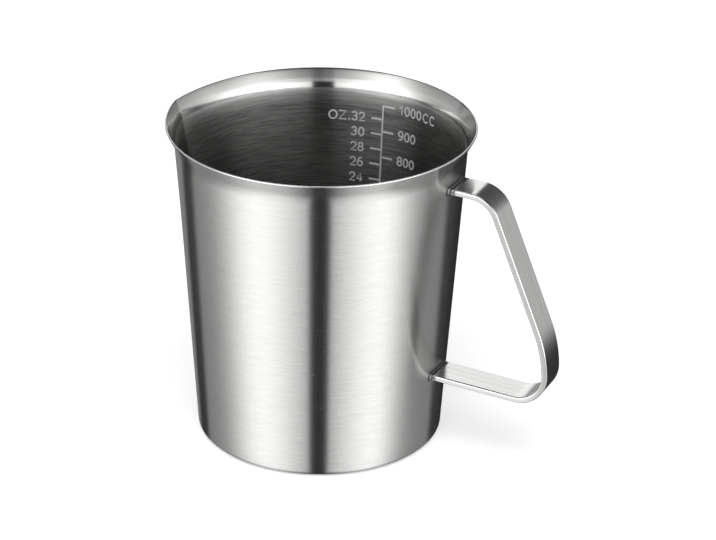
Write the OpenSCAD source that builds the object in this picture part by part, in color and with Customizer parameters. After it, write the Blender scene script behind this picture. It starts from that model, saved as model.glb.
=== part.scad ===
// Steel measuring jug: a drawn cup with a flared lip and a V-shaped spout, a bent strap handle that is welded
// on, and a volume scale on the inner wall. The origin is the centre of the base. The handle points along +X
// and the spout along -X.

/* [Cup] */
// Height from the resting face to the top of the rim
jug_h = 129.5; // [118:0.5:145]
// Outside diameter of the wall, carried straight down to the resting face
base_d = 98.2; // [88:0.2:106]
// Outside diameter of the wall, carried straight up to the height of the rim
wall_top_d = 115.6; // [110:0.2:122]
// Thickness of the drawn sheet
sheet_t = 0.7; // [0.5:0.1:1.2]
// Outside radius of the corner between the base and the wall
corner_r = 2.4; // [1.8:0.1:6]
// How far the rim stands out past the line of the wall
lip_out = 3; // [2.6:0.1:3.4]
// Lean of the straight part of the lip, from upright
lip_lean = 29; // [26:1:34]
// Radius of the bend between the wall and the lip, on the outside
lip_bend_r = 13; // [6:0.5:13]

/* [Spout] */
// Direction of the spout's crease, from the handle
spout_angle = 183; // [165:1:195]
// How far the point of the spout stands out past the round rim
spout_out = 2.3; // [1.2:0.1:4]
// How far the crease stands out past the round cup in the middle of the lip's bend
spout_belly = 3.1; // [1.5:0.1:4]
// Half of the angle that the spout takes of the rim
spout_half_angle = 36; // [28:1:45]
// Length of the crease, from the rim down the wall
spout_drop = 34; // [24:1:44]

/* [Handle] */
// Width of the strap
strap_w = 14; // [10:0.5:20]
// Thickness of the strap
strap_t = 2.4; // [1.8:0.1:3.2]
// Radius of the strap's long edges
strap_edge_r = 0.6; // [0.3:0.1:0.8]
// Depth of the middle of the upper arm below the rim, at the wall
upper_arm_depth = 15.2; // [15:0.2:22]
// Height of the middle of the lower arm where the lower bend ends
lower_arm_z = 31.4; // [25:0.2:40]
// How far the handle reaches out past the round rim
handle_out = 39.4; // [36:0.1:48]
// Fall of the upper arm, away from the wall
upper_arm_fall = 1.5; // [0:0.5:5]
// Rise of the lower arm, towards the wall
lower_arm_rise = 3; // [0:0.5:6]
// Lean of the straight grip, from upright
grip_lean = 22.5; // [18:0.5:25]
// Inside radius of the upper bend
upper_bend_r = 10.4; // [8:0.2:13]
// Inside radius of the slow bend at the foot of the grip
ease_bend_r = 52; // [40:1:65]
// Angle of the slow bend
ease_turn = 20; // [10:1:22]
// Inside radius of the lower bend
lower_bend_r = 10.8; // [7:0.2:13]

/* [Welds] */
// Leg of the fillet bead round each end of the strap
weld_leg = 0.8; // [0.6:0.1:2]

/* [Scale] */
// Direction of the scale's upright line, from the handle
scale_angle = 88.5; // [60:0.5:120]
// Width of the upright line at the foot of the wall
spine_w = 0.6; // [0.4:0.05:1.5]
// Width of the ticks
tick_w = 0.85; // [0.5:0.05:1.5]
// Thickness of the layer that the lines are made of
line_relief = 0.05; // [0.03:0.01:0.2]
// Gap between the upright line and its ticks
line_gap = 0.1; // [0.05:0.05:0.5]
// Length of a cubic centimetre tick
cc_tick = 4.8; // [3:0.1:9]
// Length of a fluid ounce tick
oz_tick = 4.5; // [3:0.1:9]
// Cubic centimetres between ticks
cc_step = 100; // [50:50:200]
// Fluid ounces between ticks
oz_step = 2; // [1:1:8]
// Fluid ounces at the lowest tick
oz_first = 4; // [2:1:8]
// How far the ticks follow true volumes: at 1 fully, at 0 they stand at even steps
true_share = 0.5; // [0:0.1:1]

/* [Hidden] */
$fn = 180;

// Steps in a small rounding and in the bend of the lip
round_steps = 4;
lip_steps = 6;
// Steps round the cup, steps across the strap, and the largest angle of one step of a bend
cup_steps = 96;
side_steps = 8;
bend_angle = 8;
// Height kept clear between the highest tick and the lip
scale_clear = 2;

// Wall: outside and inside radius at a height
wall_slope = (wall_top_d - base_d) / (2 * jug_h);
wall_lean = atan(wall_slope);
function wall_r(z) = base_d / 2 + wall_slope * z;
function inner_r(z) = wall_r(z) - sheet_t / cos(wall_lean);

// A point at an angle on a circle, and a round stretch of an outline
function on_circle(centre, r, angle) = centre + r * [cos(angle), sin(angle)];
function arc(centre, r, from, to, steps) =
    [for (i = [0 : steps]) on_circle(centre, r, from + (to - from) * i / steps)];

// Edge of the sheet: a round cap with a narrow flat on top
rim_r = wall_r(jug_h) + lip_out;
cap_r = sheet_t / 2;
cap_flat = 15;
cap_centre = [rim_r - cap_r, jug_h - cap_r * cos(cap_flat)];

// Lip: a bend about a centre outside the wall, and a straight flange from the bend to the cap
flange_end = on_circle(cap_centre, cap_r, -lip_lean);
bend_rise = lip_bend_r * (sin(lip_lean) - sin(wall_lean));
bend_run = lip_bend_r * (cos(wall_lean) - cos(lip_lean));
flange_run = flange_end.x - wall_r(flange_end.y) - bend_run + wall_slope * bend_rise;
flange_len = flange_run / (sin(lip_lean) - wall_slope * cos(lip_lean));
lip_z = flange_end.y - flange_len * cos(lip_lean) - bend_rise;
lip_centre = [wall_r(lip_z) + lip_bend_r * cos(wall_lean), lip_z - lip_bend_r * sin(wall_lean)];

// Corner of the base
corner_centre = [wall_r(corner_r) - corner_r / cos(wall_lean), corner_r];

// Outlines of the lip and its cap, from the wall up, outside and inside
outer_lip = concat(
    arc(lip_centre, lip_bend_r, 180 - wall_lean, 180 - lip_lean, lip_steps),
    arc(cap_centre, cap_r, -lip_lean, 90 - cap_flat, round_steps));
inner_lip = concat(
    arc(lip_centre, lip_bend_r + sheet_t, 180 - wall_lean, 180 - lip_lean, lip_steps),
    arc(cap_centre, cap_r, 180 - lip_lean, 90 + cap_flat, round_steps));
outer_corner = arc(corner_centre, corner_r, -90, -wall_lean, round_steps);
inner_corner = arc(corner_centre, corner_r - sheet_t, -90, -wall_lean, round_steps);

// Spout: the wall and lip swell towards a crease across from the handle. The swell grows evenly from the foot
// of the crease to the middle of the lip's bend, and dies away to both sides.
spout_foot = jug_h - spout_drop;
belly_z = lip_centre.y + lip_bend_r * sin((wall_lean + lip_lean) / 2);
function spout_depth(z) = z < belly_z
    ? max(0, spout_belly * (z - spout_foot) / (belly_z - spout_foot))
    : spout_belly + (spout_out - spout_belly) * (z - belly_z) / (jug_h - belly_z);
function spout_share(turn) = pow(max(0, 1 - abs(turn) / spout_half_angle), 2);
function cup_point(p, turn) =
    let (r = p.x + spout_depth(p.y) * spout_share(turn), angle = spout_angle + turn)
        [r * cos(angle), r * sin(angle), p.y];

function reversed(list) = [for (i = [len(list) - 1 : -1 : 0]) list[i]];

// Triangles between two outlines of count points that start at the points a and b. A ring also joins its last
// point to its first.
function band(a, b, count, ring) =
    [for (i = [0 : count - (ring ? 1 : 2)])
        let (next = (i + 1) % count)
            each [[a + i, a + next, b + next], [a + i, b + next, b + i]]];

// The drawn sheet: its section runs up the outside, over the edge and down the inside, and is carried round
// the axis. The middles of the base and of the floor close it.
module jug_body() {
    section = concat(outer_corner, [[wall_r(spout_foot), spout_foot]], outer_lip,
                     reversed(inner_lip), [[inner_r(spout_foot), spout_foot]], reversed(inner_corner));
    count = len(section);
    starts = [for (i = [0 : cup_steps]) i % cup_steps * count];
    turns = [for (i = [0 : cup_steps - 1]) 360 * i / cup_steps - 180];
    base_middle = cup_steps * count;
    points = concat([for (turn = turns, p = section) cup_point(p, turn)], [[0, 0, 0], [0, 0, sheet_t]]);
    faces = [for (i = [0 : cup_steps - 1])
        let (a = starts[i], b = starts[i + 1])
            each concat(band(a, b, count, false),
                        [[base_middle, a, b], [base_middle + 1, b + count - 1, a + count - 1]])];
    color("silver") polyhedron(points, faces);
}

// Section of the strap: corner centres, each with the direction of a point on its rounding. The upper half
// runs from one edge to the other, and the lower half runs back.
strap_corner = [strap_w / 2 - strap_edge_r, strap_t / 2 - strap_edge_r];
strap_half = concat(
    [for (i = [0 : round_steps]) [strap_corner.x, strap_corner.y, 90 * i / round_steps]],
    [for (i = [1 : side_steps - 1]) [strap_corner.x * (1 - 2 * i / side_steps), strap_corner.y, 90]],
    [for (i = [0 : round_steps]) [-strap_corner.x, strap_corner.y, 90 + 90 * i / round_steps]]);
strap_ring = concat(strap_half, [for (p = reversed(strap_half)) [p.x, -p.y, -p.z]]);
strap_sides = len(strap_ring);
// A point of the section, moved out from the strap's surface: across the width and through the thickness
function strap_point(p, out = 0) = on_circle([p.x, p.y], strap_edge_r + out, p.z);

// Where a point of the section meets the wall, or lies off it, on an arm that leaves the wall at z and falls
function at_wall(q, z, fall, off = 0) =
    let (height = z + q.y / cos(fall), x = sqrt(pow(wall_r(height), 2) - pow(q.x, 2)) + off)
        [x, q.x, height - (x - wall_r(z)) * tan(fall)];

// Middle radius of each bend
upper_mid_r = upper_bend_r + strap_t / 2;
ease_mid_r = ease_bend_r + strap_t / 2;
lower_mid_r = lower_bend_r + strap_t / 2;

// Heading of the strap's middle line, as a fall from level, and the directions along it and into its bends
grip_heading = 90 - grip_lean;
ease_heading = grip_heading + ease_turn;
lower_heading = 180 + lower_arm_rise;
function along(heading) = [cos(heading), -sin(heading)];
function inward(heading) = [-sin(heading), -cos(heading)];
function bend_step(r, from, to) = r * (inward(from) - inward(to));

// Straight lengths of the upper arm and the grip, from the reach of the handle and the heights of its arms
upper_arm_z = jug_h - upper_arm_depth;
handle_x = rim_r + handle_out - strap_t / 2;
bends_out = bend_step(upper_mid_r, upper_arm_fall, grip_heading)
    + bend_step(ease_mid_r, grip_heading, ease_heading)
    + bend_step(lower_mid_r, ease_heading, 90);
lower_step = bend_step(lower_mid_r, 90, lower_heading);
runs_out = handle_x - wall_r(upper_arm_z) - bends_out.x;
runs_down = upper_arm_z - lower_arm_z + bends_out.y + lower_step.y;
grip_run = (runs_down * cos(upper_arm_fall) - runs_out * sin(upper_arm_fall))
    / sin(grip_heading - upper_arm_fall);
upper_run = (runs_out - grip_run * cos(grip_heading)) / cos(upper_arm_fall);

// Height at which the lower arm meets the wall
lower_end_x = handle_x + lower_step.x;
lower_wall_z = lower_arm_z + (lower_end_x - wall_r(lower_arm_z)) * tan(lower_arm_rise);

// The middle line from the start of the upper bend to the end of the lower one: places and headings
function bend_line(start, r, from, to) =
    let (steps = ceil((to - from) / bend_angle))
        [for (i = [0 : steps])
            let (heading = from + (to - from) * i / steps)
                [start + bend_step(r, from, heading), heading]];
upper_start = [wall_r(upper_arm_z), upper_arm_z] + upper_run * along(upper_arm_fall);
grip_start = upper_start + bend_step(upper_mid_r, upper_arm_fall, grip_heading);
ease_start = grip_start + grip_run * along(grip_heading);
lower_start = ease_start + bend_step(ease_mid_r, grip_heading, ease_heading);
strap_line = concat(bend_line(upper_start, upper_mid_r, upper_arm_fall, grip_heading),
                    bend_line(ease_start, ease_mid_r, grip_heading, ease_heading),
                    [for (i = [1 : ceil((lower_heading - ease_heading) / bend_angle)])
                        bend_line(lower_start, lower_mid_r, ease_heading, lower_heading)[i]]);

module handle_strap() {
    upper_end = [for (p = strap_ring) at_wall(strap_point(p), upper_arm_z, upper_arm_fall)];
    lower_end = [for (p = strap_ring)
        let (q = strap_point(p)) at_wall([q.x, -q.y], lower_wall_z, -lower_arm_rise)];
    middle = [for (stop = strap_line, p = strap_ring)
        let (q = strap_point(p), place = stop[0] - q.y * inward(stop[1])) [place.x, q.x, place.y]];
    last = (len(strap_line) + 1) * strap_sides;
    walls = [for (i = [0 : len(strap_line)])
        each band((i + 1) * strap_sides, i * strap_sides, strap_sides, true)];
    ends = [for (i = [0 : strap_sides / 2 - 2])
        let (j = strap_sides - 1 - i)
            each [[i, i + 1, j - 1], [i, j - 1, j],
                  [last + j, last + j - 1, last + i + 1], [last + j, last + i + 1, last + i]]];
    color("gainsboro") polyhedron(concat(upper_end, middle, lower_end), concat(walls, ends));
}

// Section of the bead: its distance from the strap and from the wall, with a hollow face
bead = concat([[0, 0]], arc([weld_leg, weld_leg], weld_leg, 270, 180, round_steps));

// A fillet bead round an arm that leaves the wall at z and falls
module weld_bead(z, fall) {
    count = len(bead);
    points = [for (p = strap_ring, b = bead) at_wall(strap_point(p, b.x), z, fall, b.y)];
    faces = [for (i = [0 : strap_sides - 1])
        each band(i * count, (i + 1) % strap_sides * count, count, true)];
    polyhedron(points, faces);
}

module upper_weld() {
    color("darkgray") weld_bead(upper_arm_z, upper_arm_fall);
}

module lower_weld() {
    color("darkgray") weld_bead(lower_wall_z, -lower_arm_rise);
}

// Height inside the cup that a volume in cubic centimetres fills
mm3_per_cc = 1000;
cc_per_oz = 29.5735;
function fill_z(cc) =
    (pow(pow(inner_r(sheet_t), 3) + 3 * wall_slope * cc * mm3_per_cc / PI, 1 / 3) - inner_r(0)) / wall_slope;
function fill_cc(z) =
    (pow(inner_r(z), 3) - pow(inner_r(sheet_t), 3)) * PI / (3 * wall_slope * mm3_per_cc);

// The highest tick on each side stays below the lip
cc_last = cc_step * floor(fill_cc(lip_z - scale_clear) / cc_step);
oz_last = oz_step * floor(cc_last / cc_per_oz / oz_step);

// Height of a tick, between its true volume and even steps from the floor to the highest tick
function even_z(cc) = sheet_t + (fill_z(cc_last) - sheet_t) * cc / cc_last;
function tick_z(cc) = true_share * fill_z(cc) + (1 - true_share) * even_z(cc);

// The layer of the scale lies on the flats that the steps round the cup leave on the inner wall
function layer_r(z) = inner_r(z) * cos(180 / cup_steps);

// A patch of the layer, from one angle through another, between two heights
module wall_patch(from, turn, low, high) {
    rotate(from)
        rotate_extrude(angle = turn)
            polygon([[layer_r(low) - line_relief, low], [layer_r(low), low],
                     [layer_r(high), high], [layer_r(high) - line_relief, high]]);
}

// Angle that a length along the wall takes at a height
function turn_at(length, z) = length / inner_r(z) * 180 / PI;

// A tick on one side of the upright line, clear of it by line_gap
spine_turn = turn_at(spine_w, 0);
module tick(cc, length, side) {
    z = tick_z(cc);
    turn = turn_at(length, z);
    clear = spine_turn / 2 + turn_at(line_gap, z);
    from = side < 0 ? scale_angle - clear - turn : scale_angle + clear;
    wall_patch(from, turn, z - tick_w / 2, z + tick_w / 2);
}

module volume_scale() {
    lowest = tick_z(min(cc_step, oz_first * cc_per_oz)) - tick_w / 2;
    highest = tick_z(cc_last) + tick_w / 2;
    color("lightgray") {
        wall_patch(scale_angle - spine_turn / 2, spine_turn, lowest, highest);
        for (cc = [cc_step : cc_step : cc_last])
            tick(cc, cc_tick, -1);
        for (oz = [oz_first : oz_step : oz_last])
            tick(oz * cc_per_oz, oz_tick, 1);
    }
}

jug_body();
handle_strap();
upper_weld();
lower_weld();
volume_scale();
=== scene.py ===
"""A steel measuring jug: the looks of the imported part, a plain studio round it and the camera."""

import math

import bmesh
import bpy
import numpy as np
from mathutils import Matrix, Vector


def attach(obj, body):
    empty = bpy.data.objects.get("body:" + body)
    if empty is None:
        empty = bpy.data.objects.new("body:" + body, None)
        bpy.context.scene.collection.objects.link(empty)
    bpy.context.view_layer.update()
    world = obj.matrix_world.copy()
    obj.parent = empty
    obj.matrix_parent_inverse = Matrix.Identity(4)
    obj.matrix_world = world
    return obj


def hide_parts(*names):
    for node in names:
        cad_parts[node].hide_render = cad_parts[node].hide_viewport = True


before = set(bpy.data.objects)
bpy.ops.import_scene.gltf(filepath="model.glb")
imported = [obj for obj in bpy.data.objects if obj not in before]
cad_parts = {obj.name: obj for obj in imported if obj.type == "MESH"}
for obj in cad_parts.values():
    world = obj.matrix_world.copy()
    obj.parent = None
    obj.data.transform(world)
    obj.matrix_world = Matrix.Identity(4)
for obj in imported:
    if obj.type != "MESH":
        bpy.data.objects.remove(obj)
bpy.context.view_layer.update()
scene = bpy.context.scene

MM = 0.001

# ---------------------------------------------------------------------------------------------------------------
# Sizes of the part, in millimetres and degrees: the same as those of the solids. TRUE_SHARE says how far the ticks
# follow true volumes.
# ---------------------------------------------------------------------------------------------------------------
JUG_H, BASE_D, WALL_TOP_D = 129.5, 98.2, 115.6
SHEET_T, CORNER_R = 0.7, 2.4
LIP_OUT, LIP_LEAN, LIP_BEND_R = 3.0, 29.0, 13.0
SPOUT_ANGLE, SPOUT_OUT, SPOUT_BELLY, SPOUT_HALF, SPOUT_DROP = 183.0, 2.3, 3.1, 36.0, 34.0
STRAP_W, STRAP_T, STRAP_EDGE_R = 14.0, 2.4, 0.6
UPPER_ARM_DEPTH, LOWER_ARM_Z, HANDLE_OUT = 15.2, 31.4, 39.4
UPPER_ARM_FALL, LOWER_ARM_RISE, GRIP_LEAN, EASE_TURN = 1.5, 3.0, 22.5, 20.0
UPPER_BEND_R, EASE_BEND_R, LOWER_BEND_R = 10.4, 52.0, 10.8
WELD_LEG = 0.8
SCALE_ANGLE, SPINE_W, LINE_RELIEF, LINE_GAP, TRUE_SHARE = 88.5, 0.6, 0.05, 0.1, 0.5
CC_TICK, OZ_TICK, CC_STEP, OZ_STEP, OZ_FIRST, CC_LAST, OZ_LAST = 4.8, 4.5, 100, 2, 4, 1000, 32
CC_PER_OZ, MM3_PER_CC = 29.5735, 1000.0


def sin(angle):
    return np.sin(np.radians(angle))


def cos(angle):
    return np.cos(np.radians(angle))


# Wall, rim and lip
WALL_SLOPE = (WALL_TOP_D - BASE_D) / (2 * JUG_H)
WALL_LEAN = math.degrees(math.atan(WALL_SLOPE))


def wall_r(z):
    return BASE_D / 2 + WALL_SLOPE * z


def inner_r(z):
    return wall_r(z) - SHEET_T / cos(WALL_LEAN)


def on_circle(centre, r, angle):
    return np.array([centre[0] + r * cos(angle), centre[1] + r * sin(angle)]).T


RIM_R = wall_r(JUG_H) + LIP_OUT
CAP_R, CAP_FLAT = SHEET_T / 2, 15.0
CAP_CENTRE = (RIM_R - CAP_R, JUG_H - CAP_R * cos(CAP_FLAT))
FLANGE_END = on_circle(CAP_CENTRE, CAP_R, -LIP_LEAN)
BEND_RISE = LIP_BEND_R * (sin(LIP_LEAN) - sin(WALL_LEAN))
BEND_RUN = LIP_BEND_R * (cos(WALL_LEAN) - cos(LIP_LEAN))
FLANGE_RUN = FLANGE_END[0] - wall_r(FLANGE_END[1]) - BEND_RUN + WALL_SLOPE * BEND_RISE
FLANGE_LEN = FLANGE_RUN / (sin(LIP_LEAN) - WALL_SLOPE * cos(LIP_LEAN))
LIP_Z = FLANGE_END[1] - FLANGE_LEN * cos(LIP_LEAN) - BEND_RISE
LIP_CENTRE = (wall_r(LIP_Z) + LIP_BEND_R * cos(WALL_LEAN), LIP_Z - LIP_BEND_R * sin(WALL_LEAN))
CORNER_CENTRE = (wall_r(CORNER_R) - CORNER_R / cos(WALL_LEAN), CORNER_R)
SPOUT_FOOT = JUG_H - SPOUT_DROP
BELLY_Z = LIP_CENTRE[1] + LIP_BEND_R * sin((WALL_LEAN + LIP_LEAN) / 2)

# Handle
GRIP_HEADING = 90 - GRIP_LEAN
EASE_HEADING = GRIP_HEADING + EASE_TURN
LOWER_HEADING = 180 + LOWER_ARM_RISE
UPPER_MID_R, EASE_MID_R, LOWER_MID_R = (r + STRAP_T / 2 for r in (UPPER_BEND_R, EASE_BEND_R, LOWER_BEND_R))


def along(heading):
    return np.array([cos(heading), -sin(heading)]).T


def inward(heading):
    return np.array([-sin(heading), -cos(heading)]).T


def bend_step(r, start, end):
    return r * (inward(start) - inward(end))


UPPER_ARM_Z = JUG_H - UPPER_ARM_DEPTH
HANDLE_X = RIM_R + HANDLE_OUT - STRAP_T / 2
BENDS_OUT = (bend_step(UPPER_MID_R, UPPER_ARM_FALL, GRIP_HEADING)
             + bend_step(EASE_MID_R, GRIP_HEADING, EASE_HEADING)
             + bend_step(LOWER_MID_R, EASE_HEADING, 90))
LOWER_STEP = bend_step(LOWER_MID_R, 90, LOWER_HEADING)
RUNS_OUT = HANDLE_X - wall_r(UPPER_ARM_Z) - BENDS_OUT[0]
RUNS_DOWN = UPPER_ARM_Z - LOWER_ARM_Z + BENDS_OUT[1] + LOWER_STEP[1]
GRIP_RUN = ((RUNS_DOWN * cos(UPPER_ARM_FALL) - RUNS_OUT * sin(UPPER_ARM_FALL))
            / sin(GRIP_HEADING - UPPER_ARM_FALL))
UPPER_RUN = (RUNS_OUT - GRIP_RUN * cos(GRIP_HEADING)) / cos(UPPER_ARM_FALL)
LOWER_END_X = HANDLE_X + LOWER_STEP[0]
LOWER_WALL_Z = LOWER_ARM_Z + (LOWER_END_X - wall_r(LOWER_ARM_Z)) * math.tan(math.radians(LOWER_ARM_RISE))
UPPER_START = np.array([wall_r(UPPER_ARM_Z), UPPER_ARM_Z]) + UPPER_RUN * along(UPPER_ARM_FALL)
GRIP_START = UPPER_START + bend_step(UPPER_MID_R, UPPER_ARM_FALL, GRIP_HEADING)
EASE_START = GRIP_START + GRIP_RUN * along(GRIP_HEADING)
LOWER_START = EASE_START + bend_step(EASE_MID_R, GRIP_HEADING, EASE_HEADING)


# ---------------------------------------------------------------------------------------------------------------
# Meshes. A piece carries two maps for its finish: "grain", whose third number runs across the brushing, and the
# UV map "Grain", whose first number does.
# ---------------------------------------------------------------------------------------------------------------
def piece(name, points, faces, grain, corners, materials, indices=None):
    """A closed, smooth mesh that belongs to the jug. corners holds a UV pair for each corner of each face."""
    mesh = bpy.data.meshes.new(name)
    mesh.from_pydata((np.asarray(points) * MM).tolist(), [], faces)
    layer = mesh.uv_layers.new(name="Grain")
    layer.data.foreach_set("uv", np.asarray(corners, np.float32).ravel())
    attribute = mesh.attributes.new("grain", "FLOAT_VECTOR", "POINT")
    attribute.data.foreach_set("vector", np.asarray(grain, np.float32).ravel())
    for material in materials:
        mesh.materials.append(material)
    if indices is not None:
        mesh.polygons.foreach_set("material_index", np.asarray(indices, np.int32))
    work = bmesh.new()
    work.from_mesh(mesh)
    bmesh.ops.recalc_face_normals(work, faces=work.faces)
    for face in work.faces:
        face.smooth = True
    work.to_mesh(mesh)
    work.free()
    obj = bpy.data.objects.new(name, mesh)
    scene.collection.objects.link(obj)
    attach(obj, "root")
    return obj


def grid_faces(rows, columns, first=0, wrap_rows=False):
    """Faces and the row and column numbers of their corners, for rows of points that each close on themselves."""
    faces, cells = [], []
    for i in range(rows if wrap_rows else rows - 1):
        for j in range(columns):
            a, b = i % rows, (i + 1) % rows
            c, d = j, (j + 1) % columns
            faces.append([first + a * columns + c, first + a * columns + d,
                          first + b * columns + d, first + b * columns + c])
            cells.append([(i, j), (i, j + 1), (i + 1, j + 1), (i + 1, j)])
    return faces, cells


def lengths(points):
    """Distance along a line of points, from its start."""
    steps = np.linalg.norm(np.diff(points, axis=0), axis=1)
    return np.concatenate([[0], np.cumsum(steps)])


# ---------------------------------------------------------------------------------------------------------------
# Materials
# ---------------------------------------------------------------------------------------------------------------
NOISE_LOW, NOISE_HIGH = 0.3, 0.7    # most of a noise lies between these values
MIX_SOCKETS = {"FLOAT": (2, 0), "RGBA": (6, 2)}     # first input and output of a Mix node, by kind


class Nodes:
    """A short way to add and join the nodes of a material."""

    def __init__(self, name):
        self.material = bpy.data.materials.new(name)
        self.material.use_nodes = True
        self.tree = self.material.node_tree
        self.shader = self.tree.nodes["Principled BSDF"]

    def add(self, kind, inputs=None, **settings):
        node = self.tree.nodes.new("ShaderNode" + kind)
        for key, value in settings.items():
            setattr(node, key, value)
        for key, value in (inputs or {}).items():
            if isinstance(value, bpy.types.NodeSocket):
                self.tree.links.new(value, node.inputs[key])
            else:
                node.inputs[key].default_value = value
        return node

    def noise(self, source, scale, detail, roughness):
        """Noise over a vector that is stretched by scale."""
        place = self.add("Mapping", {"Vector": source, "Scale": scale})
        noise = self.add("TexNoise", {"Vector": place.outputs["Vector"], "Scale": 1.0, "Detail": detail,
                                      "Roughness": roughness})
        return noise.outputs["Fac"]

    def spread(self, value, low, high, start=NOISE_LOW, end=NOISE_HIGH):
        """value, from start to end, turned into low to high."""
        node = self.add("MapRange", {"Value": value, "From Min": start, "From Max": end, "To Min": low,
                                     "To Max": high})
        return node.outputs["Result"]

    def shade(self, value, dark, light):
        """A colour from dark to light, by a noise."""
        node = self.add("ValToRGB", {"Fac": value})
        for element, place, colour in zip(node.color_ramp.elements, (NOISE_LOW, NOISE_HIGH), (dark, light)):
            element.position = place
            element.color = (*colour, 1.0)
        return node.outputs["Color"]

    def blend(self, a, b, share, kind="FLOAT"):
        """a with a share of b. The share is a number or an output."""
        first, result = MIX_SOCKETS[kind]
        return self.add("Mix", {0: share, first: a, first + 1: b}, data_type=kind).outputs[result]

    def link(self, output, name):
        self.tree.links.new(output, self.shader.inputs[name])

    def bump(self, height, strength, distance):
        node = self.add("Bump", {"Height": height, "Strength": strength, "Distance": distance})
        self.link(node.outputs["Normal"], "Normal")


LINE_NOISE, STREAK_NOISE = (4.0, 0.7), (3.0, 0.6)     # detail and roughness of the noises
BUMP_DEPTH = 0.02    # millimetres


def brushed_steel(name, dark, light, roughness, anisotropic, fine, coarse, share, bump, painted_shades_above=None):
    """Brushed steel. fine and coarse are how often the brush lines repeat in a millimetre, along and across, and
    share is how much the coarse ones count. painted_shades_above holds the heights where the shades start and end to
    change, and the two shades above: light and shade painted into the colour."""
    n = Nodes(name)
    grain = n.add("Attribute", attribute_name="grain").outputs["Vector"]
    lines = n.noise(grain, (fine[0], fine[0], fine[1]), *LINE_NOISE)
    streaks = n.noise(grain, (coarse[0], coarse[0], coarse[1]), *STREAK_NOISE)
    mixed = n.blend(lines, streaks, share)
    colour = n.shade(mixed, dark, light)
    # Painted light and shade: other shades towards the top.
    if painted_shades_above:
        start, end, dark_above, light_above = painted_shades_above
        place = n.add("SeparateXYZ", {"Vector": n.add("TexCoord").outputs["Object"]})
        higher = n.spread(place.outputs["Z"], 0.0, 1.0, start * MM, end * MM)
        colour = n.blend(colour, n.shade(mixed, dark_above, light_above), higher, "RGBA")
    n.link(colour, "Base Color")
    n.link(n.spread(mixed, roughness[1], roughness[0]), "Roughness")
    n.bump(mixed, bump, BUMP_DEPTH * MM)
    n.shader.inputs["Metallic"].default_value = 1.0
    n.shader.inputs["Anisotropic"].default_value = anisotropic
    tangent = n.add("Tangent", direction_type="UV_MAP", uv_map="Grain")
    n.link(tangent.outputs["Tangent"], "Tangent")
    return n.material


SPECKLES, PATCHES = 2600.0, 140.0     # how often they repeat in a metre
SPECKLE_NOISE, PATCH_NOISE, PATCH_SHARE = (3.0, 0.65), (2.0, 0.5), 0.5
PAINT_DARK, PAINT_LIGHT, PAINT_ROUGHNESS = (0.76, 0.76, 0.75), (0.94, 0.94, 0.93), (0.45, 0.6)
PAINT_METALLIC, PAINT_BUMP = 0.55, 0.2


def marking(name):
    """The pale, dull layer of the scale: a metallic paint, a little uneven."""
    n = Nodes(name)
    place = n.add("TexCoord").outputs["Object"]
    speckle = n.noise(place, (SPECKLES,) * 3, *SPECKLE_NOISE)
    patch = n.noise(place, (PATCHES,) * 3, *PATCH_NOISE)
    n.link(n.shade(n.blend(speckle, patch, PATCH_SHARE), PAINT_DARK, PAINT_LIGHT), "Base Color")
    n.link(n.spread(speckle, *PAINT_ROUGHNESS), "Roughness")
    n.shader.inputs["Metallic"].default_value = PAINT_METALLIC
    n.bump(speckle, PAINT_BUMP, BUMP_DEPTH * MM)
    return n.material


# Cup: a satin outside, a rim lightened as a painted highlight, a smoother lip, and an inside darkened as painted
# shade. Towards their top, the lip's shades darken as painted shade and the inside's lighten as painted light.
OUTER_BRUSH = {"fine": (0.2, 1.8), "coarse": (0.03, 0.7), "share": 0.25}
OUTSIDE = brushed_steel("cup_outside", dark=(0.61, 0.606, 0.598), light=(0.70, 0.697, 0.69),
                        roughness=(0.22, 0.28), anisotropic=0.95, bump=0.6, **OUTER_BRUSH)
# The rim's light shades are a painted highlight on the same steel as the rest.
RIM = brushed_steel("cup_rim", dark=(0.86, 0.857, 0.85), light=(0.94, 0.937, 0.93),
                    roughness=(0.24, 0.30), anisotropic=0.6, bump=0.3, **OUTER_BRUSH)
# The lip's shades darken over its top as painted shade.
LIP = brushed_steel("cup_lip", dark=(0.50, 0.497, 0.49), light=(0.63, 0.627, 0.62),
                    roughness=(0.11, 0.17), anisotropic=0.6, bump=0.08,
                    fine=(0.03, 3.0), coarse=(0.02, 0.8), share=0.4,
                    painted_shades_above=(125.8, 129.4, (0.31, 0.308, 0.303), (0.41, 0.408, 0.402)))
# The inside's dark shades are painted shade on the same steel as the outside, and its lighter shades towards the top
# are painted light.
INSIDE = brushed_steel("cup_inside", dark=(0.12, 0.119, 0.117), light=(0.42, 0.417, 0.41),
                       roughness=(0.29, 0.35), anisotropic=0.97, bump=0.1,
                       fine=(0.12, 2.4), coarse=(0.06, 1.2), share=0.5,
                       painted_shades_above=(115.0, 122.6, (0.55, 0.547, 0.54), (0.86, 0.857, 0.85)))

# Handle: brushed along the strap, duller on its cut edges, and dark, uneven welds
STRAP_BRUSH = {"fine": (0.02, 4.0), "coarse": (0.012, 0.8), "share": 0.4}
STRAP = brushed_steel("strap", dark=(0.57, 0.566, 0.558), light=(0.69, 0.687, 0.68),
                      roughness=(0.15, 0.22), anisotropic=0.75, bump=0.08, **STRAP_BRUSH)
STRAP_EDGE = brushed_steel("strap_edge", dark=(0.44, 0.437, 0.43), light=(0.58, 0.577, 0.57),
                           roughness=(0.34, 0.42), anisotropic=0.9, bump=0.08, **STRAP_BRUSH)
WELD = brushed_steel("weld", dark=(0.04, 0.039, 0.038), light=(0.11, 0.108, 0.105),
                     roughness=(0.35, 0.5), anisotropic=0.0, bump=0.3,
                     fine=(0.9, 0.9), coarse=(0.4, 0.4), share=0.5)
MARKING = marking("scale_marking")


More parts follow.
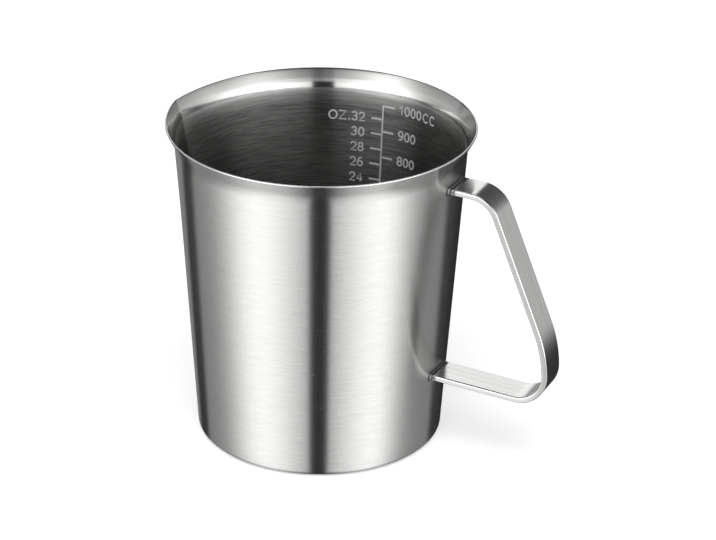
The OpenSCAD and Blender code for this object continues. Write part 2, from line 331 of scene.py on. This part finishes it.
# ---------------------------------------------------------------------------------------------------------------
# Cup
# ---------------------------------------------------------------------------------------------------------------
CUP_COLUMNS, CREASE_COLUMNS, CREASE_ZONE = 354, 60, 3.0     # columns stand closer within this angle of the crease
CREASE_R = 0.35     # angle over which the spout's crease is rounded
FOOT_EASE = 4.0     # height over which the crease eases out of the wall
BELLY_EASE = 0.25   # depth over which the crease turns in the lip's bend
BASE_STEPS, CORNER_STEPS, WALL_STEPS, SPOUT_STEPS, FLANGE_STEPS = 8, 10, 16, 26, 6
BEND_STEPS, POLISHED = 20, 13   # steps of the lip's bend, and those of its inner face with the lip's finish
CAP_STEPS, CAP_OUTER = 14, 11   # steps of the rounded rim, and those with the rim's finish


def span(a, b, steps, first=True):
    """Even steps from a to b, with or without the first."""
    return np.linspace(a, b, steps + 1)[0 if first else 1:]


def spout_depth(z):
    """How far the crease of the spout stands out at a height, with its foot and its turn in the lip's bend eased."""
    rise = z - SPOUT_FOOT
    eased = np.where(rise > FOOT_EASE, rise, np.clip(rise + FOOT_EASE, 0, None) ** 2 / (4 * FOOT_EASE))
    up = SPOUT_BELLY * eased / (BELLY_Z - SPOUT_FOOT)
    back = SPOUT_BELLY + (SPOUT_OUT - SPOUT_BELLY) * (z - BELLY_Z) / (JUG_H - BELLY_Z)
    return (up + back - np.sqrt((up - back) ** 2 + BELLY_EASE ** 2)) / 2 * (z > SPOUT_FOOT - FOOT_EASE)


def spout_share(turn):
    """How much of that depth is left at an angle from the crease."""
    away = np.sqrt(turn ** 2 + CREASE_R ** 2) - CREASE_R
    return np.clip(1 - away / SPOUT_HALF, 0, None) ** 2


def cup_turns():
    """Angles of the columns from the crease, closer together beside it."""
    return np.concatenate([span(-CREASE_ZONE, CREASE_ZONE, CREASE_COLUMNS),
                           span(CREASE_ZONE, 360 - CREASE_ZONE, CUP_COLUMNS, False)[:-1]])


def straight(start, end, steps):
    """Points from start to end, without the first."""
    return np.array([start + (end - start) * t for t in span(0, 1, steps, False)])


def cup_section():
    """The section of the sheet from the middle of the base round to the middle of the floor, and the rows of it where
    the finishes of the rim, the lip and the inside start."""
    bend = span(180 - WALL_LEAN, 180 - LIP_LEAN, BEND_STEPS)
    outer_bend = on_circle(LIP_CENTRE, LIP_BEND_R, bend)
    inner_bend = on_circle(LIP_CENTRE, LIP_BEND_R + SHEET_T, bend)[::-1]
    outer_corner = on_circle(CORNER_CENTRE, CORNER_R, span(-90, -WALL_LEAN, CORNER_STEPS))
    inner_corner = on_circle(CORNER_CENTRE, CORNER_R - SHEET_T, span(-WALL_LEAN, -90, CORNER_STEPS))
    cap = on_circle(CAP_CENTRE, CAP_R, span(-LIP_LEAN, 180 - LIP_LEAN, CAP_STEPS))
    spout_low = SPOUT_FOOT - FOOT_EASE
    outer_foot = np.array([wall_r(spout_low), spout_low])
    inner_foot = np.array([inner_r(spout_low), spout_low])
    outside = np.concatenate([
        straight(np.zeros(2), outer_corner[0], BASE_STEPS), outer_corner[1:],
        straight(outer_corner[-1], outer_foot, WALL_STEPS),
        straight(outer_foot, outer_bend[0], SPOUT_STEPS), outer_bend[1:],
        straight(outer_bend[-1], cap[0], FLANGE_STEPS), cap[1:CAP_OUTER]])
    lip = np.concatenate([cap[CAP_OUTER:], straight(cap[-1], inner_bend[0], FLANGE_STEPS), inner_bend[1:POLISHED]])
    inside = np.concatenate([
        inner_bend[POLISHED:], straight(inner_bend[-1], inner_foot, SPOUT_STEPS),
        straight(inner_foot, inner_corner[0], WALL_STEPS), inner_corner[1:],
        straight(inner_corner[-1], np.array([0, SHEET_T]), BASE_STEPS)[:-1]])
    starts = (len(outside) - CAP_OUTER, len(outside), len(outside) + len(lip))
    return np.concatenate([outside, lip, inside]), starts


def make_cup():
    section, starts = cup_section()
    turn = cup_turns()
    rows, columns = len(section), len(turn)
    brush = lengths(section)
    r = section[:, :1] + spout_depth(section[:, 1:]) * spout_share((turn + 180) % 360 - 180)
    angle = SPOUT_ANGLE + turn
    grid = np.stack([r * cos(angle), r * sin(angle), np.repeat(section[:, 1:], columns, 1)], -1)
    points = np.concatenate([[[0, 0, 0]], grid.reshape(-1, 3), [[0, 0, SHEET_T]]])
    grain = points.copy()
    grain[:, 2] = np.concatenate([[-section[0, 0]], np.repeat(brush, columns), [brush[-1] + section[-1, 0]]])
    faces, cells = grid_faces(rows, columns, first=1)
    corners = [(brush[i] / JUG_H, j / columns) for cell in cells for i, j in cell]
    indices = [sum(cell[0][0] >= start for start in starts) for cell in cells]
    last = 1 + (rows - 1) * columns
    for j in range(columns):
        k = (j + 1) % columns
        faces.append([0, 1 + k, 1 + j])
        corners += [(-section[0, 0] / JUG_H, j / columns), (0, (j + 1) / columns), (0, j / columns)]
        faces.append([last + columns, last + j, last + k])
        corners += [((brush[-1] + section[-1, 0]) / JUG_H, j / columns), (brush[-1] / JUG_H, j / columns),
                    (brush[-1] / JUG_H, (j + 1) / columns)]
        indices += [0, len(starts)]
    cup = piece("cup", points, faces, grain, corners, [OUTSIDE, RIM, LIP, INSIDE], indices)
    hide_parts("jug_body")


# ---------------------------------------------------------------------------------------------------------------
# Handle and its welds
# ---------------------------------------------------------------------------------------------------------------
ROUND_STEPS, FLAT_STEPS, FLAT_START, FLAT_EVEN = 7, 10, 0.12, 0.6     # steps of the section, and where they start
UPPER_STOPS = (0.35, 0.6, 0.85)     # places along the upper arm
GRIP_STEPS, GRIP_SHARE, ARM_STEPS, ARM_SHARE = 20, 0.95, 14, 0.93     # steps along grip and lower arm, and how far
BEND_STOP = 2.5     # angle between places in a bend


def strap_ring():
    """The strap's section: corner centres across and through the strap, each with the direction of a point on
    its rounding. Extra points lie close to the roundings, so that the flats stay flat."""
    across, through = STRAP_W / 2 - STRAP_EDGE_R, STRAP_T / 2 - STRAP_EDGE_R
    start, even = across - FLAT_START, across - FLAT_EVEN
    flat = np.concatenate([[start], span(even, -even, FLAT_STEPS), [-start]])
    half = ([(across, through, a) for a in span(0, 90, ROUND_STEPS)] + [(x, through, 90.0) for x in flat]
            + [(-across, through, a) for a in span(90, 180, ROUND_STEPS)])
    return np.array(half + [(x, -y, -a) for x, y, a in reversed(half)])


def strap_points(ring, out=0.0):
    """Points of the section, across and through the strap, moved out from it."""
    return np.array([ring[:, 0] + (STRAP_EDGE_R + out) * cos(ring[:, 2]),
                     ring[:, 1] + (STRAP_EDGE_R + out) * sin(ring[:, 2])]).T


def at_wall(q, z, fall, off=0.0):
    """Where points of the section meet the wall, or lie off it, on an arm that leaves the wall at z and falls."""
    height = z + q[:, 1] / cos(fall)
    x = np.sqrt(wall_r(height) ** 2 - q[:, 0] ** 2) + off
    return np.array([x, q[:, 0], height - (x - wall_r(z)) * math.tan(math.radians(fall))]).T


def strap_line():
    """Places and headings along the middle of the strap, from the upper arm to near the end of the lower one."""
    wall = np.array([wall_r(UPPER_ARM_Z), UPPER_ARM_Z])
    stops = [(wall + UPPER_RUN * t * along(UPPER_ARM_FALL), UPPER_ARM_FALL) for t in UPPER_STOPS]
    for start, r, turned, until in ((UPPER_START, UPPER_MID_R, UPPER_ARM_FALL, GRIP_HEADING),
                                    (EASE_START, EASE_MID_R, GRIP_HEADING, EASE_HEADING),
                                    (LOWER_START, LOWER_MID_R, EASE_HEADING, LOWER_HEADING)):
        headings = span(turned, until, math.ceil((until - turned) / BEND_STOP), start is not LOWER_START)
        stops += [(start + bend_step(r, turned, h), h) for h in headings]
        if start is UPPER_START:
            stops += [(GRIP_START + GRIP_RUN * t * along(GRIP_HEADING), GRIP_HEADING)
                      for t in span(0, GRIP_SHARE, GRIP_STEPS, False)]
    end = stops[-1][0]
    run = end[0] - wall_r(LOWER_WALL_Z)
    stops += [(end + run * t * along(LOWER_HEADING), LOWER_HEADING)
              for t in span(0, ARM_SHARE, ARM_STEPS, False)]
    return stops


def make_strap():
    ring = strap_ring()
    q = strap_points(ring)
    rows = [at_wall(q, UPPER_ARM_Z, UPPER_ARM_FALL)]
    for place, heading in strap_line():
        spot = place - q[:, 1:] * inward(heading)
        rows.append(np.array([spot[:, 0], q[:, 0], spot[:, 1]]).T)
    rows.append(at_wall(q * (1, -1), LOWER_WALL_Z, -LOWER_ARM_RISE))
    count, sides = len(rows), len(ring)
    middle = lengths(np.array([row.mean(0) for row in rows]))
    around = np.append(lengths(q), lengths(np.vstack([q, q[:1]]))[-1])
    points = np.concatenate(rows)
    grain = np.array([(length, 0.0, place) for length in middle for place in around[:-1]])
    faces, cells = grid_faces(count, sides)
    corners = [(around[j] / STRAP_W, middle[i] / STRAP_W) for cell in cells for i, j in cell]
    for base, flip in ((0, False), ((count - 1) * sides, True)):
        for i in range(sides // 2 - 1):
            j = sides - 1 - i
            quad = [base + i, base + i + 1, base + j - 1, base + j]
            faces.append(quad[::-1] if flip else quad)
            corners += [tuple(q[k - base] / STRAP_W) for k in faces[-1]]
    edges = (sides // 2 - 1, sides - 1)
    indices = [cell[0][1] in edges for cell in cells] + [False] * (len(faces) - len(cells))
    strap = piece("strap", points, faces, grain, corners, [STRAP, STRAP_EDGE], indices)
    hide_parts("handle_strap")


WELD_STEPS, BEAD_STEPS = 36, 8      # steps along a flat of the strap, and across the bead's hollow face
WAVES = ((0.05, 1.3, 1), (0.03, 3.7, 2))     # share of the bead's size, length, and how many times the phase counts


def weld_ring():
    """The strap's section with even, short steps, for a bead that runs round it."""
    corner = [tuple(p) for p in strap_ring()[:ROUND_STEPS + 1]]
    across, through, _ = corner[0]
    flat = [(x, through, 90.0) for x in (span(-1, 1, WELD_STEPS) * across)[-2:0:-1]]
    half = corner + flat + [(-x, y, 180 - a) for x, y, a in reversed(corner)]
    return np.array(half + [(x, -y, -a) for x, y, a in reversed(half)])


def make_weld(name, node, z, fall, phase):
    """A fillet bead with the slight waves of its run, round an arm that leaves the wall at z and falls. The half of
    its face beside the strap has the finish of the strap's edge."""
    ring = weld_ring()
    sides = len(ring)
    run = lengths(strap_points(ring, WELD_LEG / 2))
    wave = 1 + sum(share * np.sin(run * 2 * np.pi / length + times * phase) for share, length, times in WAVES)
    hollow = on_circle((WELD_LEG, WELD_LEG), WELD_LEG, span(270, 180, BEAD_STEPS))
    section = np.vstack([[0.0, 0.0], hollow])
    rows = []
    for out, off in section:
        q = strap_points(ring) + (strap_points(ring, 1.0) - strap_points(ring)) * (out * wave)[:, None]
        rows.append(at_wall(q, z, fall, off * wave))
    points = np.concatenate(rows)
    faces, cells = grid_faces(len(section), sides, wrap_rows=True)
    corners = [(i / len(section), j / sides) for cell in cells for i, j in cell]
    indices = [cell[0][0] > len(section) // 2 for cell in cells]
    weld = piece(name, points, faces, points, corners, [WELD, STRAP_EDGE], indices)
    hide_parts(node)


# ---------------------------------------------------------------------------------------------------------------
# Scale: numbers and unit letters as strokes of the same layer as its lines
# ---------------------------------------------------------------------------------------------------------------
LETTER_H, LETTER_W, LETTER_STEP, STROKE_W = 3.5, 2.3, 3.05, 0.65
CC_GAP, OZ_GAP, UNIT_GAP = 2.4, 3.0, 0.5
MITRE_LEAST, STROKE_END = 0.8, 0.6      # limit of a mitred corner, and how far an end reaches, in half widths


def bow(x, y, rx, ry, start, end, steps):
    """Points on an arc of an ellipse."""
    return [(x + rx * cos(a), y + ry * sin(a)) for a in span(start, end, steps)]


# Strokes in a box that is 1 wide and 1 tall. A stroke that ends where it starts is a loop.
GLYPHS = {
    "0": [bow(0.5, 0.5, 0.46, 0.5, 90, 450, 20)],
    "1": [[(0.12, 0.74), (0.52, 1.0), (0.52, 0.0)]],
    "2": [bow(0.48, 0.7, 0.44, 0.3, 165, -35, 10) + [(0.04, 0.0), (0.96, 0.0)]],
    "3": [bow(0.46, 0.75, 0.4, 0.25, 155, -80, 10) + bow(0.46, 0.27, 0.46, 0.27, 80, -155, 10)],
    "4": [[(0.74, 0.0), (0.74, 1.0), (0.04, 0.3), (0.98, 0.3)]],
    "5": [[(0.9, 1.0), (0.2, 1.0), (0.12, 0.55)] + bow(0.47, 0.32, 0.46, 0.32, 130, -150, 12)],
    "6": [bow(0.5, 0.31, 0.44, 0.31, 90, 450, 18), bow(0.62, 0.42, 0.56, 0.58, 80, 178, 8)],
    "7": [[(0.04, 1.0), (0.96, 1.0), (0.34, 0.0)]],
    "8": [bow(0.5, 0.755, 0.38, 0.245, -90, 270, 16), bow(0.5, 0.26, 0.46, 0.26, 90, 450, 18)],
    "9": [bow(0.5, 0.69, 0.44, 0.31, -90, 270, 18), bow(0.38, 0.58, 0.56, 0.58, -100, -2, 8)],
    "C": [bow(0.54, 0.5, 0.5, 0.5, 48, 312, 16)],
    "O": [bow(0.5, 0.5, 0.54, 0.5, 90, 450, 22)],
    "Z": [[(0.06, 1.0), (0.94, 1.0), (0.06, 0.0), (0.94, 0.0)]],
    ".": [[(0.12, 0.0), (0.12, 0.13)]],
}
# Share of a letter's step
WIDTHS = {".": 0.55, "1": 0.85, "C": 1.25, "O": 1.3, "Z": 1.3}


def fill_z(cc):
    """Height inside the cup that a volume fills."""
    cube = inner_r(SHEET_T) ** 3 + 3 * WALL_SLOPE * cc * MM3_PER_CC / math.pi
    return (cube ** (1 / 3) - inner_r(0)) / WALL_SLOPE


def tick_z(cc):
    """Height of a tick, between its true volume and even steps from the floor to the highest tick."""
    even = SHEET_T + (fill_z(CC_LAST) - SHEET_T) * cc / CC_LAST
    return TRUE_SHARE * fill_z(cc) + (1 - TRUE_SHARE) * even


def on_wall(across, z, lift):
    """A point on the inner wall: across is a distance from the upright line, to the right as seen from inside."""
    r = inner_r(z)
    angle = SCALE_ANGLE - np.degrees(across / r)
    return np.array([(r - lift) * cos(angle), (r - lift) * sin(angle), z])


def stroke_sides(line, loop):
    """The two edges of a stroke of even width, with mitred corners."""
    line = np.array(line, float)
    step = np.diff(line, axis=0)
    step /= np.linalg.norm(step, axis=1)[:, None]
    side = np.stack([-step[:, 1], step[:, 0]], 1)
    before = np.vstack([side[-1:] if loop else side[:1], side])
    after = np.vstack([side, side[:1] if loop else side[-1:]])
    mitre = before + after
    mitre /= np.maximum((mitre * after).sum(1), MITRE_LEAST)[:, None]
    half = STROKE_W / 2
    if not loop:
        line[0] -= step[0] * half * STROKE_END
        line[-1] += step[-1] * half * STROKE_END
    return line + mitre * half, line - mitre * half


class Layer:
    """Strokes gathered into one mesh."""

    def __init__(self):
        self.points, self.faces = [], []

    def stroke(self, line, loop):
        """A raised bar along a line of points on the wall."""
        if loop:
            line = line[:-1] + [line[0]]
        left, right = stroke_sides(line, loop)
        count = len(line) - 1 if loop else len(line)
        first = len(self.points)
        for a, b in list(zip(left, right))[:count]:
            self.points += [on_wall(*a, 0.0), on_wall(*b, 0.0),
                            on_wall(*b, LINE_RELIEF), on_wall(*a, LINE_RELIEF)]
        for i in range(count if loop else count - 1):
            a, b = first + 4 * i, first + 4 * ((i + 1) % count)
            self.faces += [[a + k, a + (k + 1) % 4, b + (k + 1) % 4, b + k] for k in range(4)]
        if not loop:
            end = first + 4 * (count - 1)
            self.faces += [[first + 3, first + 2, first + 1, first], [end, end + 1, end + 2, end + 3]]

    def word(self, word, start, z):
        """Letters from start to the right, with their middle at z. Returns where the next one would start."""
        across = start
        for letter in word:
            share = WIDTHS.get(letter, 1.0)
            width = LETTER_W * max(share, 1.0)
            for line in GLYPHS[letter]:
                loop = np.allclose(line[0], line[-1])
                self.stroke([(across + x * width, z + (y - 0.5) * LETTER_H) for x, y in line], loop)
            across += LETTER_STEP * share
        return across


def word_width(word):
    return sum(WIDTHS.get(letter, 1.0) for letter in word) * LETTER_STEP - (LETTER_STEP - LETTER_W)


def make_numbers():
    layer = Layer()
    right = SPINE_W / 2 + LINE_GAP + CC_TICK + CC_GAP
    left = -(SPINE_W / 2 + LINE_GAP + OZ_TICK + OZ_GAP)
    for cc in range(CC_STEP, CC_LAST + 1, CC_STEP):
        end = layer.word(str(cc), right, tick_z(cc))
        if cc == CC_LAST:
            layer.word("CC", end + UNIT_GAP, tick_z(cc))
    for oz in range(OZ_FIRST, OZ_LAST + 1, OZ_STEP):
        z = tick_z(oz * CC_PER_OZ)
        start = left - word_width(str(oz))
        layer.word(str(oz), start, z)
        if oz == OZ_LAST:
            layer.word("OZ.", start - word_width("OZ.") - UNIT_GAP, z)
    corners = [(0.0, 0.0)] * sum(len(f) for f in layer.faces)
    numbers = piece("scale_numbers", layer.points, layer.faces, layer.points, corners, [MARKING])
    for polygon in numbers.data.polygons:
        polygon.use_smooth = False


make_cup()
make_strap()
make_weld("weld_upper", "upper_weld", UPPER_ARM_Z, UPPER_ARM_FALL, phase=0.4)
make_weld("weld_lower", "lower_weld", LOWER_WALL_Z, -LOWER_ARM_RISE, phase=1.9)
make_numbers()
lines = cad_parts["volume_scale"]
lines.data.materials.clear()
lines.data.materials.append(MARKING)

# ---------------------------------------------------------------------------------------------------------------
# Camera, in millimetres and degrees
# ---------------------------------------------------------------------------------------------------------------
VIEW_TURN, VIEW_RISE, VIEW_ROLL = 24.0, 25.35, 0.84
VIEW_TARGET, VIEW_DISTANCE, LENS, SENSOR = (13.61, 6.06, 66.82), 1192.3, 150.4, 36.0
CLIP_START, CLIP_END = 0.05, 50.0   # metres

back = Vector((sin(VIEW_TURN) * cos(VIEW_RISE), -cos(VIEW_TURN) * cos(VIEW_RISE), sin(VIEW_RISE)))
camera_data = bpy.data.cameras.new("camera")
camera_data.lens, camera_data.sensor_width, camera_data.sensor_fit = LENS, SENSOR, "HORIZONTAL"
camera_data.clip_start, camera_data.clip_end = CLIP_START, CLIP_END
camera = bpy.data.objects.new("camera", camera_data)
scene.collection.objects.link(camera)
facing = (-back).to_track_quat("-Z", "Y").to_matrix().to_4x4()
roll = Matrix.Rotation(math.radians(VIEW_ROLL), 4, "Z")
camera.matrix_world = Matrix.Translation(Vector(VIEW_TARGET) * MM + back * VIEW_DISTANCE * MM) @ facing @ roll
scene.camera = camera

# ---------------------------------------------------------------------------------------------------------------
# Studio: a pale floor, a white surround, a soft lamp above the camera, and a tent of cards that the steel mirrors.
# Its sizes are in metres.
# ---------------------------------------------------------------------------------------------------------------
FLOOR_GLOW = 0.28    # what the pale floor lacks to be white in the picture
FLOOR_DARK, FLOOR_LIGHT, FLOOR_GRAIN, FLOOR_NOISE = (0.86, 0.86, 0.86), (0.88, 0.88, 0.88), 30.0, (2.0, 0.5)
FLOOR_ROUGHNESS, FLOOR_SPECULAR, FLOOR_HALF, FLOOR_Z = 0.9, 0.1, 12.0, -0.0003
WORLD_STRENGTH = 0.75
LAMP_PLACE, LAMP_AIM, LAMP_SIDE, LAMP_POWER = (0.36, -0.82, 1.5), (0.0, 0.0, 0.06), 1.2, 14.0

scene.view_settings.view_transform = "Standard"


def stage_mesh(name, points, faces, material):
    """A mesh of the studio, which is no piece of the jug."""
    mesh = bpy.data.meshes.new(name)
    mesh.from_pydata(points, [], faces)
    mesh.materials.append(material)
    obj = bpy.data.objects.new(name, mesh)
    scene.collection.objects.link(obj)
    return obj


def make_floor():
    """A pale floor that is white where it is seen and keeps the jug's shadow."""
    n = Nodes("floor")
    grain = n.noise(n.add("TexCoord").outputs["Object"], (FLOOR_GRAIN,) * 3, *FLOOR_NOISE)
    n.link(n.shade(grain, FLOOR_DARK, FLOOR_LIGHT), "Base Color")
    rays = n.add("LightPath")
    seen = rays.outputs["Is Camera Ray"]
    for ray in ("Is Glossy Ray", "Is Transmission Ray"):
        seen = n.add("Math", {0: seen, 1: rays.outputs[ray]}, operation="ADD").outputs["Value"]
    glow = n.add("Math", {0: seen, 1: FLOOR_GLOW}, operation="MULTIPLY").outputs["Value"]
    n.link(glow, "Emission Strength")
    n.shader.inputs["Roughness"].default_value = FLOOR_ROUGHNESS
    n.shader.inputs["Specular IOR Level"].default_value = FLOOR_SPECULAR
    corners = [(x * FLOOR_HALF, y * FLOOR_HALF, FLOOR_Z) for x, y in ((-1, -1), (1, -1), (1, 1), (-1, 1))]
    floor = stage_mesh("floor", corners, [[0, 1, 2, 3]], n.material)
    floor.visible_glossy = False    # the lower half of the tent stands in for it in the steel


def make_world():
    world = bpy.data.worlds.new("studio")
    world.use_nodes = True
    background = world.node_tree.nodes["Background"]
    background.inputs["Color"].default_value = (1.0, 1.0, 1.0, 1.0)
    background.inputs["Strength"].default_value = WORLD_STRENGTH
    scene.world = world


def make_lamp():
    """A soft lamp above the camera, which the steel doesn't mirror."""
    data = bpy.data.lights.new("lamp_top", "AREA")
    data.shape, data.size, data.size_y, data.energy = "RECTANGLE", LAMP_SIDE, LAMP_SIDE, LAMP_POWER
    obj = bpy.data.objects.new("lamp_top", data)
    scene.collection.objects.link(obj)
    obj.location = LAMP_PLACE
    obj.rotation_mode = "QUATERNION"
    obj.rotation_quaternion = (Vector(LAMP_AIM) - Vector(LAMP_PLACE)).to_track_quat("-Z", "Y")
    obj.visible_glossy = False


# Brightness of the tent, by the angle from the camera's side (turn, to the right where positive) and the angle above
# the level (rise). A pair of angles is where a change starts and where it ends.
# Two softboxes over a fill, with widths towards the camera and away from it, below the table's level and above it
FILL, SOFTBOX, SOFTBOX_TURN, SOFTBOX_IN = 0.26, 1.15, 54.0, 42.0
LEFT_OUT, RIGHT_OUT, LEFT_LEVEL, RIGHT_LEVEL = 33.0, 23.0, 22.0, 29.0
# Gain above the table's level and, for each side, in the upper part
LEVEL_GAIN, LEVEL_FILL, LEVEL_LOW, LEVEL_HIGH = 2.0, 0.15, (-16.0, -5.0), (19.0, 27.0)
LEFT_UPPER, RIGHT_UPPER = 1.55, 1.1
# Dark gap between the softboxes, weaker in the upper part
GAP_HALF, GAP_EASE, GAP_TOP, GAP_FADE = 8.8, 0.8, (23.0, 29.0), 0.36
# High dark flags towards the back, with a dim place on the right for the strap's upper bend
FLAG_START, FLAG_END, FLAG_EASE, FLAG_RISE = (130.0, 125.0), 167.0, 3.0, (-2.0, 10.0)
LEFT_RISE, RIGHT_RISE, STRAP_GLOW, STRAP_RISE = (6.0, 11.0), (-12.0, -4.0), 0.15, (18.0, 34.0)
# Low dark flags, by the angle of the upright surface that mirrors them to the camera
LEFT_FLAG, LEFT_EASE, LEFT_END = (62.0, 72.5), 2.0, (-14.0, -7.0)
RIGHT_FLAG, RIGHT_END = (58.5, 64.0), (-20.0, -3.0)
# Backdrop with the table before it, ceiling with a box at its top, and the table under the jug
BACKDROP, BACKDROP_TURN, BACKDROP_RISE, TABLE_BACK = 1.45, (165.0, 172.0), (2.0, 12.0), 0.34
CEILING, CEILING_RISE, TOP_BOX, TOP_RISE = 0.04, (34.0, 41.0), 1.1, (64.0, 74.0)
UNDER, UNDER_SIDE, UNDER_RISE, DARK = 0.65, (0.02, 0.34), (-68.0, -50.0), 0.02
TENT_R, TENT_COLUMNS, TENT_ROWS, TENT_END = 9.0, 720, 120, 89.0


def smooth(value, low, high):
    """0 up to low and 1 from high, with a smooth step between."""
    t = np.clip((value - low) / (high - low), 0, 1)
    return t * t * (3 - 2 * t)


def mix(a, b, share):
    return a + (b - a) * share


def between(value, low, high, ease):
    """1 from low to high and 0 outside, with smooth steps."""
    return smooth(value, low - ease, low + ease) * (1 - smooth(value, high - ease, high + ease))


def tent_glow(turn, rise):
    """Brightness of the tent at a turn and a rise."""
    right, turn = turn > 0, np.abs(turn)

    def side(left_value, right_value):
        return np.where(right, right_value, left_value)

    level = smooth(rise, *LEVEL_LOW)
    outward = side(mix(LEFT_OUT, LEFT_LEVEL, level), mix(RIGHT_OUT, RIGHT_LEVEL, level))
    width = np.where(turn < SOFTBOX_TURN, SOFTBOX_IN, outward)
    glow = FILL + SOFTBOX * np.exp(-((turn - SOFTBOX_TURN) / width) ** 2)
    glow = mix(glow, LEVEL_GAIN * glow + LEVEL_FILL, level)
    glow = mix(glow, side(LEFT_UPPER, RIGHT_UPPER) / LEVEL_GAIN * glow, smooth(rise, *LEVEL_HIGH))
    behind = mix(TABLE_BACK, BACKDROP, smooth(rise, *BACKDROP_RISE))
    glow = mix(glow, behind, smooth(turn, *BACKDROP_TURN))
    high = between(turn, mix(*FLAG_START, smooth(rise, *FLAG_RISE)), FLAG_END, FLAG_EASE)
    high = high * side(smooth(rise, *LEFT_RISE), smooth(rise, *RIGHT_RISE))
    glow = mix(glow, mix(DARK, STRAP_GLOW, right * between(rise, *STRAP_RISE, FLAG_EASE)), high)
    across = np.degrees(np.arctan2(cos(rise) * sin(turn), cos(VIEW_RISE) + cos(rise) * cos(turn)))
    low = side(between(across, *LEFT_FLAG, LEFT_EASE), smooth(across, *RIGHT_FLAG))
    low = low * (1 - side(smooth(rise, *LEFT_END), smooth(rise, *RIGHT_END)))
    gap = 1 - smooth(turn, GAP_HALF - GAP_EASE, GAP_HALF + GAP_EASE)
    gap = gap * mix(1.0, GAP_FADE, smooth(rise, *GAP_TOP))
    glow = mix(glow, DARK, np.maximum(gap, low))
    glow = mix(glow, mix(CEILING, TOP_BOX, smooth(rise, *TOP_RISE)), smooth(rise, *CEILING_RISE))
    under = mix(DARK, UNDER, smooth(np.abs(cos(rise) * sin(turn)), *UNDER_SIDE))
    return mix(under, glow, smooth(rise, *UNDER_RISE))


def make_tent():
    """A shining sphere that only the steel's mirror rays see."""
    turn = np.arange(TENT_COLUMNS) * 360 / TENT_COLUMNS - 180
    rise = span(-TENT_END, TENT_END, TENT_ROWS)[:, None]
    heading = turn + math.degrees(math.atan2(back.y, back.x))
    points = TENT_R * np.stack([cos(rise) * cos(heading), cos(rise) * sin(heading),
                                np.repeat(sin(rise), TENT_COLUMNS, 1)], -1)
    n = Nodes("tent")
    level = n.add("Attribute", attribute_name="glow").outputs["Fac"]
    shine = n.add("Emission", {"Strength": level})
    n.tree.links.new(shine.outputs["Emission"], n.tree.nodes["Material Output"].inputs["Surface"])
    faces, _ = grid_faces(TENT_ROWS + 1, TENT_COLUMNS)
    tent = stage_mesh("tent", points.reshape(-1, 3).tolist(), faces, n.material)
    attribute = tent.data.attributes.new("glow", "FLOAT", "POINT")
    attribute.data.foreach_set("value", tent_glow(turn, rise).astype(np.float32).ravel())
    for kind in ("camera", "diffuse", "transmission", "volume_scatter", "shadow"):
        setattr(tent, "visible_" + kind, False)


make_floor()
make_world()
make_lamp()
make_tent()
